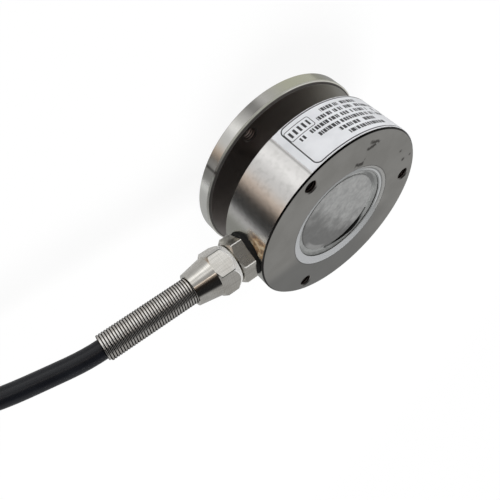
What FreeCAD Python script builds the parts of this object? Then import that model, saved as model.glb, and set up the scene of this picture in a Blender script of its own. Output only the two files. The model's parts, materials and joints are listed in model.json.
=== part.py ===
import FreeCAD, Part
import math
import os
import Sketcher

# Flange load cell, in millimetres. It stands on the load plate, with the mounting face up.
# Z is the axis of the cell, with zero on the plate's outer face. The cable leaves along +X.

SIZES = (
    # elastic body, turned from one bar
    ("flange_diameter", 52.0),
    ("plate_thickness", 4.5),
    ("plate_bevel", 0.85),
    ("plate_edge_break", 0.4),
    ("gap_height", 7.0),
    ("neck_diameter", 13.0),
    ("neck_fillet", 1.2),
    ("ring_height", 15.0),
    ("ring_edge_break", 0.4),
    ("recess_ledge", 2.0),
    ("recess_depth", 0.6),
    ("seat_diameter", 27.2),
    ("seat_depth", 2.3),
    ("seat_ledge", 3.1),
    ("diaphragm_thickness", 2.2),
    ("diaphragm_fillet", 0.8),
    ("hub_diameter", 8.0),
    ("hub_height", 3.6),
    # tapped holes, drawn at the tapping drill
    ("bolt_edge", 3.5),
    ("bolt_count", 3),
    ("bolt_drill", 3.3),
    ("bolt_countersink", 0.35),
    # cable port
    ("gland_drop", 6.7),
    ("spot_face_diameter", 12.2),
    ("spot_face_depth", 0.8),
    ("port_diameter", 7.0),
    ("port_depth", 8.0),
    ("passage_diameter", 5.6),
    # cover and its sealing bead
    ("cover_thickness", 1.0),
    ("cover_edge_break", 0.2),
    ("bead_width", 1.6),
    ("bead_height", 0.7),
    ("bead_rise", 0.75),
    ("slit_width", 0.9),
    ("slit_depth", 0.55),
    ("slit_angle", 72.0),
    ("slit_sweep_angle", 78.0),
    # label film
    ("label_length", 56.0),
    ("label_width", 14.0),
    ("label_thickness", 0.12),
    ("label_angle", -65.5),
    # strain gauges and terminal board
    ("gauge_count", 4),
    ("gauge_length", 4.6),
    ("gauge_width", 3.0),
    ("gauge_thickness", 0.12),
    ("lead_diameter", 0.3),
    ("lead_spacing", 1.6),
    ("board_clearance", 1.0),
    ("board_thickness", 1.0),
    ("board_screw_drill", 2.0),
    ("board_screw_depth", 4.2),
    ("board_screw_length", 3.4),
    ("board_screw_head", 3.8),
    ("board_screw_head_height", 1.3),
    ("board_screw_slot", 0.6),
    ("resistor_count", 3),
    ("resistor_inset", 3.0),
    ("resistor_length", 2.4),
    ("resistor_width", 1.3),
    ("resistor_height", 0.6),
    ("resistor_angle", 135.0),
    ("resistor_fan_angle", 90.0),
    # gland
    ("running_clearance", 0.1),
    ("washer_diameter", 11.8),
    ("washer_thickness", 1.6),
    ("hex_across_flats", 11.0),
    ("hex_chamfer", 0.75),
    ("body_hex_length", 3.6),
    ("body_hex_angle", 2.6),
    ("stud_length", 6.5),
    ("gland_thread", 8.4),
    ("gland_neck_length", 6.0),
    ("nut_gap", 0.3),
    ("nut_hex_length", 5.9),
    ("nut_hex_angle", 13.4),
    ("nut_face_diameter", 10.1),
    ("nut_taper_length", 2.1),
    ("collar_base_diameter", 10.7),
    ("collar_tip_diameter", 8.6),
    ("collar_length", 6.1),
    ("sleeve_diameter", 7.4),
    ("mouth_depth", 2.5),
    # strain relief spring
    ("spring_diameter", 6.9),
    ("spring_wire", 0.65),
    ("spring_gap", 0.04),
    ("spring_reach", 24.9),
    # cable
    ("cable_diameter", 5.0),
    ("jacket_inset", 1.5),
    ("core_diameter", 1.3),
    ("core_pitch", 1.4),
    ("core_spread", 2.0),
    ("core_bare", 0.7),
    ("core_tip", 6.0),
    ("screen_diameter", 1.0),
    ("cable_sway", 6.0),
    # put-away coil
    ("coil_mean_diameter", 50.0),
    ("coil_pitch", 5.2),
    ("coil_layer_turns", 1.8),
    ("coil_layer_count", 10),
    ("coil_entry", 17.4),
    ("coil_rounding", 2.3),
    ("tail_angle", 180.0),
    ("end_sleeve_diameter", 6.0),
    ("end_sleeve_length", 15.0),
    ("end_sleeve_gap", 0.4),
    ("core_length", 38.0),
    ("core_stagger", 3.0),
    ("tie_width", 4.5),
    ("tie_thickness", 0.6),
    ("tie_head_length", 6.0),
    ("tie_head_width", 5.6),
    ("tie_head_height", 3.2),
)

# Points of the cable's free run: how far beyond the spring's tip, the share of the way from the
# gland's axis down to the floor, and the share of its sideways sway.
CABLE_REACH = (3.2, 11.4, 22.3, 31.1, 39.5, 47.5, 55.1, 62.7)
CABLE_FALL = (0.0, 0.09, 0.22, 0.423, 0.729, 0.918, 1.0, 1.0)
CABLE_SIDE = (0.0, 0.0, 0.0, 0.06, 0.34, 0.76, 1.0, 1.0)

DERIVED = (
    ("plate_radius", "flange_diameter / 2"),
    ("plate_flat_radius", "plate_radius - plate_bevel"),
    ("plate_foot_radius", "plate_radius - plate_edge_break"),
    ("plate_bevel_base", "plate_thickness - plate_bevel"),
    ("neck_radius", "neck_diameter / 2"),
    ("ring_radius", "flange_diameter / 2"),
    ("ring_flat_radius", "ring_radius - ring_edge_break"),
    ("ring_base", "plate_thickness + gap_height"),
    ("ring_base_break", "ring_base + ring_edge_break"),
    ("face_level", "ring_base + ring_height"),
    ("face_break", "face_level - ring_edge_break"),
    ("seat_radius", "seat_diameter / 2"),
    ("seat_level", "face_level - seat_depth"),
    ("recess_radius", "seat_radius + recess_ledge"),
    ("recess_level", "face_level - recess_depth"),
    ("cavity_radius", "seat_radius - seat_ledge"),
    ("diaphragm_level", "ring_base + diaphragm_thickness"),
    ("hub_radius", "hub_diameter / 2"),
    ("hub_level", "diaphragm_level + hub_height"),
    ("hub_drill_radius", "board_screw_drill / 2"),
    ("hub_drill_level", "hub_level - board_screw_depth"),
    ("bolt_offset", "bolt_edge - ring_radius"),
    ("bolt_radius", "bolt_drill / 2"),
    ("bolt_mouth", "bolt_radius + bolt_countersink"),
    ("ring_hole_base", "ring_base + bolt_countersink"),
    ("ring_hole_top", "face_level - bolt_countersink"),
    ("plate_hole_top", "plate_thickness - bolt_countersink"),
    ("gland_level", "face_level - gland_drop"),
    ("spot_radius", "spot_face_diameter / 2"),
    ("spot_x", "ring_radius - spot_face_depth"),
    ("port_radius", "port_diameter / 2"),
    ("port_floor", "spot_x - port_depth"),
    ("port_outside", "ring_radius + washer_thickness"),
    ("passage_radius", "passage_diameter / 2"),
    ("passage_start", "cavity_radius - passage_radius"),
    ("cover_radius", "seat_radius - bead_width"),
    ("cover_flat_radius", "cover_radius - cover_edge_break"),
    ("cover_top", "seat_level + cover_thickness"),
    ("cover_break", "cover_top - cover_edge_break"),
    ("bead_low", "seat_level + bead_height"),
    ("bead_high", "bead_low + bead_rise"),
    ("bead_middle", "cover_radius + bead_width * 0.6"),
    ("bead_step", "bead_low + bead_rise * 0.25"),
    ("slit_radius", "cover_radius + slit_width"),
    ("slit_floor", "bead_low - slit_depth"),
    ("slit_top", "bead_high + slit_depth"),
    ("label_radius", "ring_radius + label_thickness"),
    ("label_base", "ring_base + (ring_height - label_width) / 2"),
    ("label_top", "label_base + label_width"),
    ("label_sweep", "label_length / ring_radius * 180 / pi"),
    ("label_turn", "label_angle - label_sweep"),
    ("gauge_middle", "(hub_radius + cavity_radius) / 2"),
    ("gauge_near", "gauge_middle - gauge_width / 2"),
    ("gauge_far", "gauge_middle + gauge_width / 2"),
    ("gauge_top", "diaphragm_level + gauge_thickness"),
    ("lead_offset", "gauge_middle + gauge_width / 4"),
    ("lead_left", "-lead_spacing / 2"),
    ("lead_right", "lead_spacing / 2"),
    ("lead_radius", "lead_diameter / 2"),
    ("lead_length", "hub_level - gauge_top"),
    ("board_radius", "cavity_radius - board_clearance"),
    ("board_top", "hub_level + board_thickness"),
    ("board_hole_radius", "hub_drill_radius + running_clearance"),
    ("board_screw_radius", "hub_drill_radius - running_clearance / 2"),
    ("board_screw_tip", "hub_level - board_screw_length"),
    ("board_screw_top", "board_top + board_screw_head_height"),
    ("board_screw_head_radius", "board_screw_head / 2"),
    ("board_slot_left", "-board_screw_head"),
    ("board_slot_floor", "board_screw_top - board_screw_slot"),
    ("resistor_middle", "board_radius - resistor_inset"),
    ("resistor_near", "resistor_middle - resistor_width / 2"),
    ("resistor_far", "resistor_middle + resistor_width / 2"),
    ("resistor_top", "board_top + resistor_height"),
    ("washer_radius", "washer_diameter / 2"),
    ("washer_x", "spot_x + washer_thickness"),
    ("hex_radius", "hex_across_flats / sqrt(3)"),
    ("hex_rim_radius", "hex_radius - hex_chamfer"),
    ("hex_outer_radius", "hex_radius + hex_chamfer"),
    ("stud_radius", "port_radius - running_clearance"),
    ("stud_x", "washer_x - stud_length"),
    ("body_hex_x", "washer_x + body_hex_length"),
    ("body_hex_rim", "body_hex_x - 2 * hex_chamfer"),
    ("gland_thread_radius", "gland_thread / 2"),
    ("gland_neck_x", "body_hex_x + gland_neck_length"),
    ("gland_bore_radius", "cable_diameter / 2 + running_clearance"),
    ("nut_x", "body_hex_x + nut_gap"),
    ("nut_face_radius", "nut_face_diameter / 2"),
    ("nut_taper_slope", "nut_taper_length / (hex_radius - nut_face_radius)"),
    ("nut_taper_x", "nut_x + (hex_outer_radius - nut_face_radius) * nut_taper_slope"),
    ("nut_hex_x", "nut_x + nut_hex_length"),
    ("nut_hex_rim", "nut_hex_x - 2 * hex_chamfer"),
    ("collar_base_radius", "collar_base_diameter / 2"),
    ("collar_tip_radius", "collar_tip_diameter / 2"),
    ("collar_x", "nut_hex_x + collar_length"),
    ("nut_bore_radius", "gland_thread_radius + running_clearance"),
    ("sleeve_radius", "sleeve_diameter / 2"),
    ("chamber_radius", "sleeve_radius + running_clearance"),
    ("chamber_x", "gland_neck_x + running_clearance"),
    ("mouth_x", "collar_x - mouth_depth"),
    ("spring_radius", "spring_diameter / 2"),
    ("mouth_radius", "spring_radius + running_clearance"),
    ("mouth_outside", "collar_x + running_clearance"),
    ("cable_radius", "cable_diameter / 2"),
    ("wire_radius", "spring_wire / 2"),
    ("spring_mean_radius", "spring_radius - wire_radius"),
    ("spring_pitch", "spring_wire + spring_gap"),
    ("spring_tip", "collar_x + spring_reach"),
    ("coil_width", "coil_layer_turns * coil_pitch + cable_diameter"),
    ("coil_height", "coil_layer_count * cable_diameter"),
    ("coil_inner", "coil_mean_diameter / 2 - coil_width / 2"),
    ("coil_outer", "coil_inner + coil_width"),
    ("coil_step", "coil_outer - coil_pitch"),
    ("coil_shelf", "coil_height - cable_diameter"),
    ("tail_radius", "coil_outer - cable_radius"),
    ("coil_y", "cable_sway - tail_radius"),
    ("coil_west", "-coil_outer"),
    ("coil_step_west", "-coil_step"),
    ("coil_inner_west", "-coil_inner"),
    ("tie_inner_west", "tie_thickness - coil_outer"),
    ("tie_inner_east", "-coil_inner - tie_thickness"),
    ("tie_inner_top", "coil_height - tie_thickness"),
    ("tie_slot", "tie_width + 2 * running_clearance"),
    ("tie_slot_west", "-coil_outer - tie_thickness"),
    ("tie_slot_east", "tie_thickness - coil_inner"),
    ("tie_slot_low", "-tie_thickness"),
    ("tie_slot_top", "coil_height + tie_thickness"),
    ("tie_head_x", "-coil_outer - tie_head_height"),
    ("tie_head_low", "coil_height / 2 - tie_head_length / 2"),
    ("tie_head_high", "coil_height / 2 + tie_head_length / 2"),
    ("end_sleeve_radius", "end_sleeve_diameter / 2"),
    ("end_circle", "coil_step + end_sleeve_radius + end_sleeve_gap"),
    ("end_level", "coil_shelf + end_sleeve_radius"),
    ("end_sleeve_sweep", "end_sleeve_length / end_circle * 180 / pi"),
    ("end_sleeve_turn", "180 - tail_angle / 2 - end_sleeve_sweep"),
    ("core_radius", "core_diameter / 2"),
    ("bare_radius", "core_bare / 2"),
    ("core_near", "end_circle - core_radius"),
    ("core_far", "end_circle + core_radius"),
    ("core_low", "coil_shelf + core_radius"),
    ("core_high", "core_low + core_diameter"),
    ("tip_sweep", "core_tip / end_circle * 180 / pi"),
    ("core_sweep", "core_length / end_circle * 180 / pi"),
    ("stagger_sweep", "core_stagger / end_circle * 180 / pi"),
    ("red_sweep", "core_sweep"),
    ("black_sweep", "core_sweep - stagger_sweep"),
    ("green_sweep", "core_sweep - 2 * stagger_sweep"),
    ("white_sweep", "core_sweep - 3 * stagger_sweep"),
    ("screen_sweep", "core_sweep - 4 * stagger_sweep"),
    ("screen_radius", "screen_diameter / 2"),
    ("screen_level", "core_high + core_radius + screen_radius"),
    ("red_cover", "red_sweep - tip_sweep"),
    ("black_cover", "black_sweep - tip_sweep"),
    ("green_cover", "green_sweep - tip_sweep"),
    ("white_cover", "white_sweep - tip_sweep"),
    ("screen_cover", "screen_sweep - tip_sweep"),
)

doc = FreeCAD.newDocument("load_cell")
dims = doc.addObject("Spreadsheet::Sheet", "dims")
for row, (name, value) in enumerate(SIZES, 1):
    dims.set("A%d" % row, name)
    dims.set("B%d" % row, str(value))
    dims.setAlias("B%d" % row, name)
for row, (name, formula) in enumerate(DERIVED, len(SIZES) + 1):
    dims.set("A%d" % row, name)
    dims.set("B%d" % row, "=" + formula)
    dims.setAlias("B%d" % row, name)
doc.recompute()

PIECES = []


def size(name):
    """The number that a named size holds, or zero for a place on an axis."""
    if name is None:
        return 0.0
    held = dims.get(name)
    return float(getattr(held, "Value", held))


def new_body(label, raised=None, turned=None):
    """A piece of its own, lifted to a named level or turned about Z by a named angle."""
    body = doc.addObject("PartDesign::Body", label)
    body.Label = label
    body.AllowCompound = True
    if raised:
        body.setExpression("Placement.Base.z", "dims." + raised)
    if turned:
        body.Placement = FreeCAD.Placement(
            FreeCAD.Vector(0, 0, 0), FreeCAD.Rotation(FreeCAD.Vector(0, 0, 1), 1)
        )
        body.setExpression("Placement.Rotation.Angle", "dims." + turned)
    PIECES.append(body)
    return body


def on_coil(body):
    """Moves a piece that is drawn about the coil's axis to where the coil lies."""
    body.setExpression("Placement.Base.x", "dims.spring_tip + %s + dims.coil_entry" % CABLE_REACH[-1])
    body.setExpression("Placement.Base.y", "dims.coil_y")
    return body


def origin_item(body, role):
    """The body's own plane or axis of that role."""
    for item in body.Origin.OriginFeatures:
        if item.Role == role:
            return item
    raise ValueError("no origin item " + role)


def attach(item, body, plane, shift=(), turn=None):
    """Attaches a sketch or block to an origin plane, shifted by named sizes."""
    item.AttachmentSupport = [(origin_item(body, plane), "")]
    item.MapMode = "FlatFace"
    if turn:
        item.AttachmentOffset = FreeCAD.Placement(
            FreeCAD.Vector(0, 0, 0), FreeCAD.Rotation(FreeCAD.Vector(0, 0, 1), 1)
        )
        item.setExpression("AttachmentOffset.Rotation.Angle", "dims." + turn)
    for axis, name in shift:
        item.setExpression("AttachmentOffset.Base." + axis, "dims." + name)


def new_sketch(body, name, plane, shift=()):
    sketch = body.newObject("Sketcher::SketchObject", name)
    attach(sketch, body, plane, shift)
    doc.recompute()
    return sketch


def tie_datum(sketch, index, name):
    """Drives one constraint by a named size."""
    label = "d%d" % index
    sketch.renameConstraint(index, label)
    sketch.setExpression("Constraints." + label, "dims." + name)


def pin(sketch, curve, end, x, y):
    """Holds a point at two named distances from the origin, or on an axis."""
    for kind, name, axis in (("DistanceX", x, -2), ("DistanceY", y, -1)):
        if name is None:
            sketch.addConstraint(Sketcher.Constraint("PointOnObject", curve, end, axis))
        else:
            index = sketch.addConstraint(Sketcher.Constraint(kind, -1, 1, curve, end, size(name)))
            tie_datum(sketch, index, name)


def outline(sketch, corners):
    """A closed outline whose corners are pairs of named sizes."""
    first = sketch.GeometryCount
    count = len(corners)
    points = [FreeCAD.Vector(size(x), size(y), 0) for x, y in corners]
    for i in range(count):
        sketch.addGeometry(Part.LineSegment(points[i], points[(i + 1) % count]), False)
    for i in range(count):
        sketch.addConstraint(
            Sketcher.Constraint("Coincident", first + i, 2, first + (i + 1) % count, 1)
        )
    for i, (x, y) in enumerate(corners):
        pin(sketch, first + i, 1, x, y)
    return sketch


def rectangle(sketch, left, right, low, high):
    return outline(sketch, ((left, low), (right, low), (right, high), (left, high)))


def circle(sketch, x, y, radius):
    centre = FreeCAD.Vector(size(x), size(y), 0)
    curve = sketch.addGeometry(Part.Circle(centre, FreeCAD.Vector(0, 0, 1), size(radius)), False)
    index = sketch.addConstraint(Sketcher.Constraint("Radius", curve, size(radius)))
    tie_datum(sketch, index, radius)
    pin(sketch, curve, 3, x, y)
    return sketch


def turn_about(body, kind, name, sketch, axis, sweep=None, symmetric=False, reverse=False):
    """A revolution or groove about one of the sketch's own axes."""
    feature = body.newObject("PartDesign::" + kind, name)
    feature.Profile = sketch
    feature.ReferenceAxis = (sketch, [axis])
    feature.Angle = 360
    feature.Midplane = symmetric
    feature.Reversed = reverse
    if sweep:
        feature.setExpression("Angle", "dims." + sweep)
    sketch.Visibility = False
    doc.recompute()
    return feature


def extrude(body, kind, name, sketch, length, symmetric=False, reverse=False):
    """A pad or pocket of a named length."""
    feature = body.newObject("PartDesign::" + kind, name)
    feature.Profile = sketch
    feature.Midplane = symmetric
    feature.Reversed = reverse
    feature.setExpression("Length", "dims." + length)
    sketch.Visibility = False
    doc.recompute()
    return feature


def repeat(body, name, feature, count, fan=None):
    """A polar pattern about the body's Z axis, all round or over a named angle."""
    pattern = body.newObject("PartDesign::PolarPattern", name)
    pattern.Originals = [feature]
    pattern.Axis = (origin_item(body, "Z_Axis"), [""])
    pattern.Angle = 360
    if fan:
        pattern.setExpression("Angle", "dims." + fan)
    pattern.setExpression("Occurrences", "dims." + count)
    body.Tip = pattern
    doc.recompute()
    return pattern


def rims_at(shape, spots):
    """Names of the circular edges at pairs of named radius and level."""
    wanted = [(size(radius), size(level)) for radius, level in spots]
    names = []
    for index, edge in enumerate(shape.Edges, 1):
        if not isinstance(edge.Curve, Part.Circle):
            continue
        for radius, level in wanted:
            if abs(edge.Curve.Radius - radius) < 1e-4 and abs(edge.Curve.Center.z - level) < 1e-4:
                names.append("Edge%d" % index)
    return names


def fillet(body, name, base, spots, radius):
    feature = body.newObject("PartDesign::Fillet", name)
    feature.Base = (base, rims_at(base.Shape, spots))
    feature.setExpression("Radius", "dims." + radius)
    doc.recompute()
    return feature


def hexagon(body, name, start, length, turn):
    """A hexagonal block about the X axis."""
    block = body.newObject("PartDesign::AdditivePrism", name)
    attach(block, body, "YZ_Plane", (("z", start),), turn)
    block.Polygon = 6
    block.setExpression("Circumradius", "dims.hex_radius")
    block.setExpression("Height", "dims." + length)
    doc.recompute()
    return block


def route(points):
    """Straight runs joined by tangent arcs, each as large as its two runs allow."""
    edges = []
    radii = []
    last = points[0]
    for before, here, after in zip(points, points[1:], points[2:]):
        back = (before - here).normalize()
        ahead = (after - here).normalize()
        reach = 0.45 * min((before - here).Length, (after - here).Length)
        half_turn = (math.pi - back.getAngle(ahead)) / 2
        radius = reach / math.tan(half_turn)
        inward = (back + ahead).normalize()
        middle = here + inward * (radius / math.cos(half_turn) - radius)
        edges.append(Part.LineSegment(last, here + back * reach).toShape())
        edges.append(Part.Arc(here + back * reach, middle, here + ahead * reach).toShape())
        last = here + ahead * reach
        radii.append(radius)
    edges.append(Part.LineSegment(last, points[-1]).toShape())
    return Part.Wire(edges), radii


def swept(path, start, heading, radius):
    """A round solid along a path of lines and arcs, compared with its section times its length."""
    section = Part.Wire(Part.makeCircle(radius, start, heading))
    solid = path.makePipeShell([section], True, False)
    expected = math.pi * radius * radius * path.Length
    if abs(solid.Volume - expected) > 0.01 * expected:
        raise ValueError("swept volume %.2f, expected %.2f" % (solid.Volume, expected))
    return solid


def tube(points, radius):
    """A round solid along a route, with the route's bend radii and length."""
    path, radii = route(points)
    return swept(path, points[0], points[1] - points[0], radius), radii, path.Length


def shaped(label, shape):
    """A piece whose form is a free route, held as a plain shape."""
    piece = doc.addObject("Part::Feature", label)
    piece.Label = label
    piece.Shape = shape
    PIECES.append(piece)
    return piece


# Elastic body: load plate, neck, diaphragm, hub and sensing ring in one turned piece
body = new_body("elastic_body")
sketch = new_sketch(body, "BodyProfile", "XZ_Plane")
outline(sketch, (
    (None, None),
    ("plate_foot_radius", None),
    ("plate_radius", "plate_edge_break"),
    ("plate_radius", "plate_bevel_base"),
    ("plate_flat_radius", "plate_thickness"),
    ("neck_radius", "plate_thickness"),
    ("neck_radius", "ring_base"),
    ("ring_flat_radius", "ring_base"),
    ("ring_radius", "ring_base_break"),
    ("ring_radius", "face_break"),
    ("ring_flat_radius", "face_level"),
    ("recess_radius", "face_level"),
    ("seat_radius", "recess_level"),
    ("seat_radius", "seat_level"),
    ("cavity_radius", "seat_level"),
    ("cavity_radius", "diaphragm_level"),
    ("hub_radius", "diaphragm_level"),
    ("hub_radius", "hub_level"),
    (None, "hub_level"),
))
turned = turn_about(body, "Revolution", "TurnedBody", sketch, "V_Axis")
neck_fillet = fillet(body, "NeckFillet", turned, (
    ("neck_radius", "plate_thickness"),
    ("neck_radius", "ring_base"),
), "neck_fillet")
fillet(body, "DiaphragmFillet", neck_fillet, (
    ("cavity_radius", "diaphragm_level"),
    ("hub_radius", "diaphragm_level"),
), "diaphragm_fillet")

# Tapped holes through the ring, countersunk at both mouths
sketch = new_sketch(body, "RingHole", "XZ_Plane", (("x", "bolt_offset"),))
outline(sketch, (
    (None, "ring_base"),
    ("bolt_mouth", "ring_base"),
    ("bolt_radius", "ring_hole_base"),
    ("bolt_radius", "ring_hole_top"),
    ("bolt_mouth", "face_level"),
    (None, "face_level"),
))
hole = turn_about(body, "Groove", "RingHoleCut", sketch, "V_Axis")
repeat(body, "RingHoles", hole, "bolt_count")

# Tapped holes through the load plate, in line with those of the ring
sketch = new_sketch(body, "PlateHole", "XZ_Plane", (("x", "bolt_offset"),))
outline(sketch, (
    (None, None),
    ("bolt_mouth", None),
    ("bolt_radius", "bolt_countersink"),
    ("bolt_radius", "plate_hole_top"),
    ("bolt_mouth", "plate_thickness"),
    (None, "plate_thickness"),
))
hole = turn_about(body, "Groove", "PlateHoleCut", sketch, "V_Axis")
repeat(body, "PlateHoles", hole, "bolt_count")

# Cable port: spot face for the washer, threaded bore and passage into the cavity
sketch = new_sketch(body, "PortProfile", "XZ_Plane", (("y", "gland_level"),))
outline(sketch, (
    ("passage_start", None),
    ("port_outside", None),
    ("port_outside", "spot_radius"),
    ("spot_x", "spot_radius"),
    ("spot_x", "port_radius"),
    ("port_floor", "port_radius"),
    ("port_floor", "passage_radius"),
    ("passage_start", "passage_radius"),
))
turn_about(body, "Groove", "CablePort", sketch, "H_Axis")

# Threaded hole in the hub for the board's screw
sketch = new_sketch(body, "HubDrill", "XZ_Plane")
rectangle(sketch, None, "hub_drill_radius", "hub_drill_level", "hub_level")
turn_about(body, "Groove", "HubHole", sketch, "V_Axis")

# Cover disc, seated on the ledge below the mounting face
body = new_body("cover_disc")
sketch = new_sketch(body, "CoverProfile", "XZ_Plane")
outline(sketch, (
    (None, "seat_level"),
    ("cover_radius", "seat_level"),
    ("cover_radius", "cover_break"),
    ("cover_flat_radius", "cover_top"),
    (None, "cover_top"),
))
turn_about(body, "Revolution", "Cover", sketch, "V_Axis")

# Sealing bead between the cover's edge and the seat, parted from the cover along a slit
body = new_body("sealing_bead", turned="slit_angle")
sketch = new_sketch(body, "BeadProfile", "XZ_Plane")
outline(sketch, (
    ("cover_radius", "seat_level"),
    ("seat_radius", "seat_level"),
    ("seat_radius", "bead_high"),
    ("bead_middle", "bead_step"),
    ("cover_radius", "bead_low"),
))
turn_about(body, "Revolution", "Bead", sketch, "V_Axis")
sketch = new_sketch(body, "SlitProfile", "XZ_Plane")
rectangle(sketch, "cover_radius", "slit_radius", "slit_floor", "slit_top")
turn_about(body, "Groove", "Slit", sketch, "V_Axis", sweep="slit_sweep_angle")

# Label film, wrapped on the ring
body = new_body("label", turned="label_turn")
sketch = new_sketch(body, "LabelProfile", "XZ_Plane")
rectangle(sketch, "ring_radius", "label_radius", "label_base", "label_top")
turn_about(body, "Revolution", "LabelFilm", sketch, "V_Axis", sweep="label_sweep")

# Strain gauges, bonded to the diaphragm
body = new_body("strain_gauges")
sketch = new_sketch(body, "GaugeProfile", "XZ_Plane")
rectangle(sketch, "gauge_near", "gauge_far", "diaphragm_level", "gauge_top")
gauge = extrude(body, "Pad", "Gauge", sketch, "gauge_length", symmetric=True)
repeat(body, "Gauges", gauge, "gauge_count")

# Gauge leads, two from each gauge up to the board
body = new_body("gauge_leads")
sketch = new_sketch(body, "LeadProfile", "XY_Plane", (("z", "gauge_top"),))
circle(sketch, "lead_offset", "lead_left", "lead_radius")
circle(sketch, "lead_offset", "lead_right", "lead_radius")
lead = extrude(body, "Pad", "LeadPair", sketch, "lead_length")
repeat(body, "Leads", lead, "gauge_count")

# Terminal board on the hub, and the screw that holds it
body = new_body("terminal_board")
sketch = new_sketch(body, "BoardProfile", "XY_Plane", (("z", "hub_level"),))
circle(sketch, None, None, "board_radius")
circle(sketch, None, None, "board_hole_radius")
extrude(body, "Pad", "Board", sketch, "board_thickness")

body = new_body("board_screw")
sketch = new_sketch(body, "ScrewProfile", "XZ_Plane")
outline(sketch, (
    (None, "board_screw_tip"),
    ("board_screw_radius", "board_screw_tip"),
    ("board_screw_radius", "board_top"),
    ("board_screw_head_radius", "board_top"),
    ("board_screw_head_radius", "board_screw_top"),
    (None, "board_screw_top"),
))
turn_about(body, "Revolution", "Screw", sketch, "V_Axis")
sketch = new_sketch(body, "SlotProfile", "YZ_Plane")
rectangle(sketch, "board_slot_left", "board_screw_head", "board_slot_floor", "board_screw_top")
extrude(body, "Pocket", "Slot", sketch, "board_screw_slot", symmetric=True)

# Trimming resistors on the board
body = new_body("trim_resistors", turned="resistor_angle")
sketch = new_sketch(body, "ResistorProfile", "XZ_Plane")
rectangle(sketch, "resistor_near", "resistor_far", "board_top", "resistor_top")
resistor = extrude(body, "Pad", "Resistor", sketch, "resistor_length", symmetric=True)
repeat(body, "Resistors", resistor, "resistor_count", fan="resistor_fan_angle")

# Sealing washer under the gland
gland_level = size("gland_level")
body = new_body("gland_washer", raised="gland_level")
sketch = new_sketch(body, "WasherProfile", "XZ_Plane")
rectangle(sketch, "spot_x", "washer_x", "port_radius", "washer_radius")
turn_about(body, "Revolution", "Washer", sketch, "H_Axis")

# Gland body: threaded stud, hexagon and threaded neck, bored for the cable
body = new_body("gland_body", raised="gland_level")
sketch = new_sketch(body, "StudProfile", "XZ_Plane")
outline(sketch, (
    ("stud_x", None),
    ("gland_neck_x", None),
    ("gland_neck_x", "gland_thread_radius"),
    ("washer_x", "gland_thread_radius"),
    ("washer_x", "stud_radius"),
    ("stud_x", "stud_radius"),
))
turn_about(body, "Revolution", "StudAndNeck", sketch, "H_Axis")
hexagon(body, "BodyHexagon", "washer_x", "body_hex_length", "body_hex_angle")
sketch = new_sketch(body, "BodyHexRim", "XZ_Plane")
outline(sketch, (
    ("body_hex_x", "hex_rim_radius"),
    ("body_hex_x", "hex_outer_radius"),
    ("body_hex_rim", "hex_outer_radius"),
))
turn_about(body, "Groove", "BodyHexChamfer", sketch, "H_Axis")
sketch = new_sketch(body, "GlandBore", "XZ_Plane")
rectangle(sketch, "stud_x", "gland_neck_x", None, "gland_bore_radius")
turn_about(body, "Groove", "GlandBoreCut", sketch, "H_Axis")

# Rubber sleeve, squeezed on the cable between the neck and the nut
body = new_body("gland_sleeve", raised="gland_level")
sketch = new_sketch(body, "SleeveProfile", "XZ_Plane")
rectangle(sketch, "gland_neck_x", "mouth_x", "cable_radius", "sleeve_radius")
turn_about(body, "Revolution", "Sleeve", sketch, "H_Axis")

# Gland nut: hexagon, turned down towards the body, with a tapered collar that holds the spring
body = new_body("gland_nut", raised="gland_level")
sketch = new_sketch(body, "CollarProfile", "XZ_Plane")
outline(sketch, (
    ("nut_x", None),
    ("collar_x", None),
    ("collar_x", "collar_tip_radius"),
    ("nut_hex_x", "collar_base_radius"),
    ("nut_x", "collar_base_radius"),
))
turn_about(body, "Revolution", "Collar", sketch, "H_Axis")
hexagon(body, "NutHexagon", "nut_x", "nut_hex_length", "nut_hex_angle")
sketch = new_sketch(body, "NutRims", "XZ_Plane")
outline(sketch, (
    ("nut_x", "nut_face_radius"),
    ("nut_taper_x", "hex_outer_radius"),
    ("nut_x", "hex_outer_radius"),
))
outline(sketch, (
    ("nut_hex_x", "hex_rim_radius"),
    ("nut_hex_x", "hex_outer_radius"),
    ("nut_hex_rim", "hex_outer_radius"),
))
turn_about(body, "Groove", "NutChamfers", sketch, "H_Axis")
sketch = new_sketch(body, "NutBore", "XZ_Plane")
outline(sketch, (
    ("nut_x", None),
    ("mouth_outside", None),
    ("mouth_outside", "mouth_radius"),
    ("mouth_x", "mouth_radius"),
    ("mouth_x", "chamber_radius"),
    ("chamber_x", "chamber_radius"),
    ("chamber_x", "nut_bore_radius"),
    ("nut_x", "nut_bore_radius"),
))
turn_about(body, "Groove", "NutBoreCut", sketch, "H_Axis")

# Strain relief: a close-wound spring, whose wire runs in half turns that each lean by half a pitch
# and meet in line with each other
ring_mean = size("spring_mean_radius")
half_pitch = size("spring_pitch") / 2
start_x = size("mouth_x") + size("wire_radius")
half_turns = 2 * int((size("spring_tip") - size("wire_radius") - start_x) / half_pitch / 2)
arcs = []
for number in range(half_turns):
    side = 1 - 2 * (number % 2)
    first = FreeCAD.Vector(start_x + number * half_pitch, 0, gland_level + side * ring_mean)
    last = FreeCAD.Vector(first.x + half_pitch, 0, gland_level - side * ring_mean)
    bulge = FreeCAD.Vector(0, side * (last - first).Length / 2, 0)
    arcs.append(Part.Arc(first, (first + last) / 2 + bulge, last).toShape())
wire_end = FreeCAD.Vector(start_x, 0, gland_level + ring_mean)
solid = swept(Part.Wire(arcs), wire_end, FreeCAD.Vector(0, 1, 0), size("wire_radius"))
shaped("relief_spring", solid)
print("spring of %.1f turns" % (half_turns / 2))

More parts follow.
